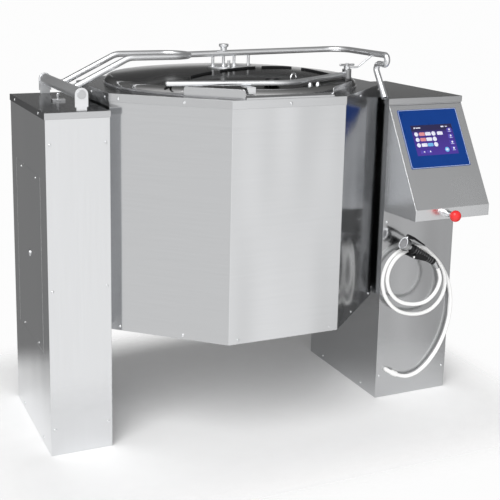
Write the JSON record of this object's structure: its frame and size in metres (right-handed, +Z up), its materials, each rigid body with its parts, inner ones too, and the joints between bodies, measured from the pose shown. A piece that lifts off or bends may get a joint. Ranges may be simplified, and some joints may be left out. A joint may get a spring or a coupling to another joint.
{
  "type": "cooking kettle",
  "caption": "Tilting insulated cooking kettle with an octagonal casing between two floor columns, a swinging domed lid, sloping controls and a hand shower.",
  "frame": {"origin": "centre of the machine's own box, on the floor, without the hose and spray gun", "axes": "+X from the hinge column to the control column, -Y towards the cook and the pouring lip, +Z up"},
  "size_m": [1.5783, 0.9918, 1.3371],
  "materials": {
    "brushed_stainless": "brushed stainless sheet, fine vertical grain",
    "bright_stainless": "bright satin stainless",
    "polished_lid": "polished stainless dome",
    "vessel_stainless": "fine ground stainless bowl",
    "raw_stainless": "mill finish",
    "turned_steel": "turned stainless",
    "chrome_trim": "bright chrome plate",
    "painted_frame": "primed grey steel",
    "painted_drive": "hammered blue grey paint",
    "cast_bearing": "machined cast block",
    "mineral_wool": "mineral wool with foil face",
    "blue_overlay": "printed polyester overlay",
    "screen_glass": "lit touch screen glass",
    "board_green": "circuit board",
    "red_plastic": "glossy red",
    "black_plastic": "moulded black",
    "black_rubber": "ribbed grip",
    "grey_rubber": "silicone seal",
    "white_plastic": "white coated tube",
    "white_hose": "smooth white hose",
    "valve_brass": "brass body"
  },
  "bodies": {
    "frame": {"left_column_shell": "brushed_stainless", "left_top_cover": "brushed_stainless", "left_base_plate": "raw_stainless", "left_post": "painted_frame", "left_bearing_block": "cast_bearing", "service_panel": "brushed_stainless", "right_column_shell": "brushed_stainless", "right_top_cover": "brushed_stainless", "right_base_plate": "raw_stainless", "right_post": "painted_frame", "right_bearing_block": "cast_bearing", "tilt_drive": "painted_drive", "control_hood": "brushed_stainless", "control_panel": "blue_overlay", "touch_screen": "screen_glass", "control_board": "board_green", "stop_button_bezel": "chrome_trim", "front_hinge_ear": "brushed_stainless", "rear_hinge_ear": "brushed_stainless", "lid_hinge_pin": "turned_steel", "lid_position_switch": "chrome_trim", "water_inlet": "valve_brass", "solenoid_valve": "valve_brass", "water_pipe": "raw_stainless", "hose_outlet": "white_plastic", "hose_ferrule": "chrome_trim", "hose": "white_hose", "gun_swivel": "chrome_trim", "gun_grip": "black_rubber", "spray_head": "chrome_trim", "lever_pin": "turned_steel", "gun_holder": "black_plastic"},
    "kettle": {"casing": "brushed_stainless", "bottom_plate": "brushed_stainless", "collar": "bright_stainless", "vessel": "vessel_stainless", "steam_jacket": "raw_stainless", "insulation": "mineral_wool", "heating_elements": "raw_stainless", "pouring_lip": "bright_stainless", "left_trunnion": "turned_steel", "right_trunnion": "turned_steel"},
    "lid": {"hinge_barrel": "bright_stainless", "twin_arm": "bright_stainless", "handle_tube": "bright_stainless", "lid_shell": "polished_lid", "lid_liner": "vessel_stainless", "lid_seal": "grey_rubber", "hub_plate": "bright_stainless", "hub_studs": "turned_steel", "tube_cap": "turned_steel", "front_bar": "bright_stainless", "bar_strap": "bright_stainless", "bar_clamp": "bright_stainless", "stay_rod": "bright_stainless", "lid_knob": "black_plastic"},
    "screw": {"clamp_screw": "turned_steel"},
    "button": {"stop_button": "red_plastic"},
    "lock": {"panel_lock": "chrome_trim"},
    "lever": {"gun_lever": "black_plastic"}
  },
  "joints": [
    {"name": "lid_swing", "type": "hinge", "parent": "frame", "child": "lid", "pos_m": [-0.66165, 0.0309, 1.202], "axis": [0, -1, 0], "range_deg": [0, 105]},
    {"name": "kettle_tilt", "type": "hinge", "parent": "frame", "child": "kettle", "pos_m": [-0.05115, 0.0154, 0.85], "axis": [1, 0, 0], "range_deg": [0, 84]},
    {"name": "clamp_screw_turn", "type": "hinge", "parent": "lid", "child": "screw", "pos_m": [0.29385, -0.2156, 1.274], "axis": [0, 0, 1], "range_deg": [0, 180]},
    {"name": "stop_button_press", "type": "slide", "parent": "frame", "child": "button", "axis": [0, 1, 0], "range_m": [0, 0.006], "stiffness_N_per_m": 900, "springref_m": -0.002},
    {"name": "panel_lock_turn", "type": "hinge", "parent": "frame", "child": "lock", "pos_m": [-0.78315, 0.0379, 0.632], "axis": [-1, 0, 0], "range_deg": [0, 90]},
    {"name": "gun_lever_squeeze", "type": "hinge", "parent": "frame", "child": "lever", "pos_m": [0.53881, -0.2906, 0.6438], "axis": [0, 1, 0], "range_deg": [0, 9], "stiffness_Nm_per_rad": 2, "springref_deg": -5.73}
  ],
  "couplings": [
    {"joint": "kettle_tilt", "follows": "lid_swing", "ratio": 0.8}
  ]
}
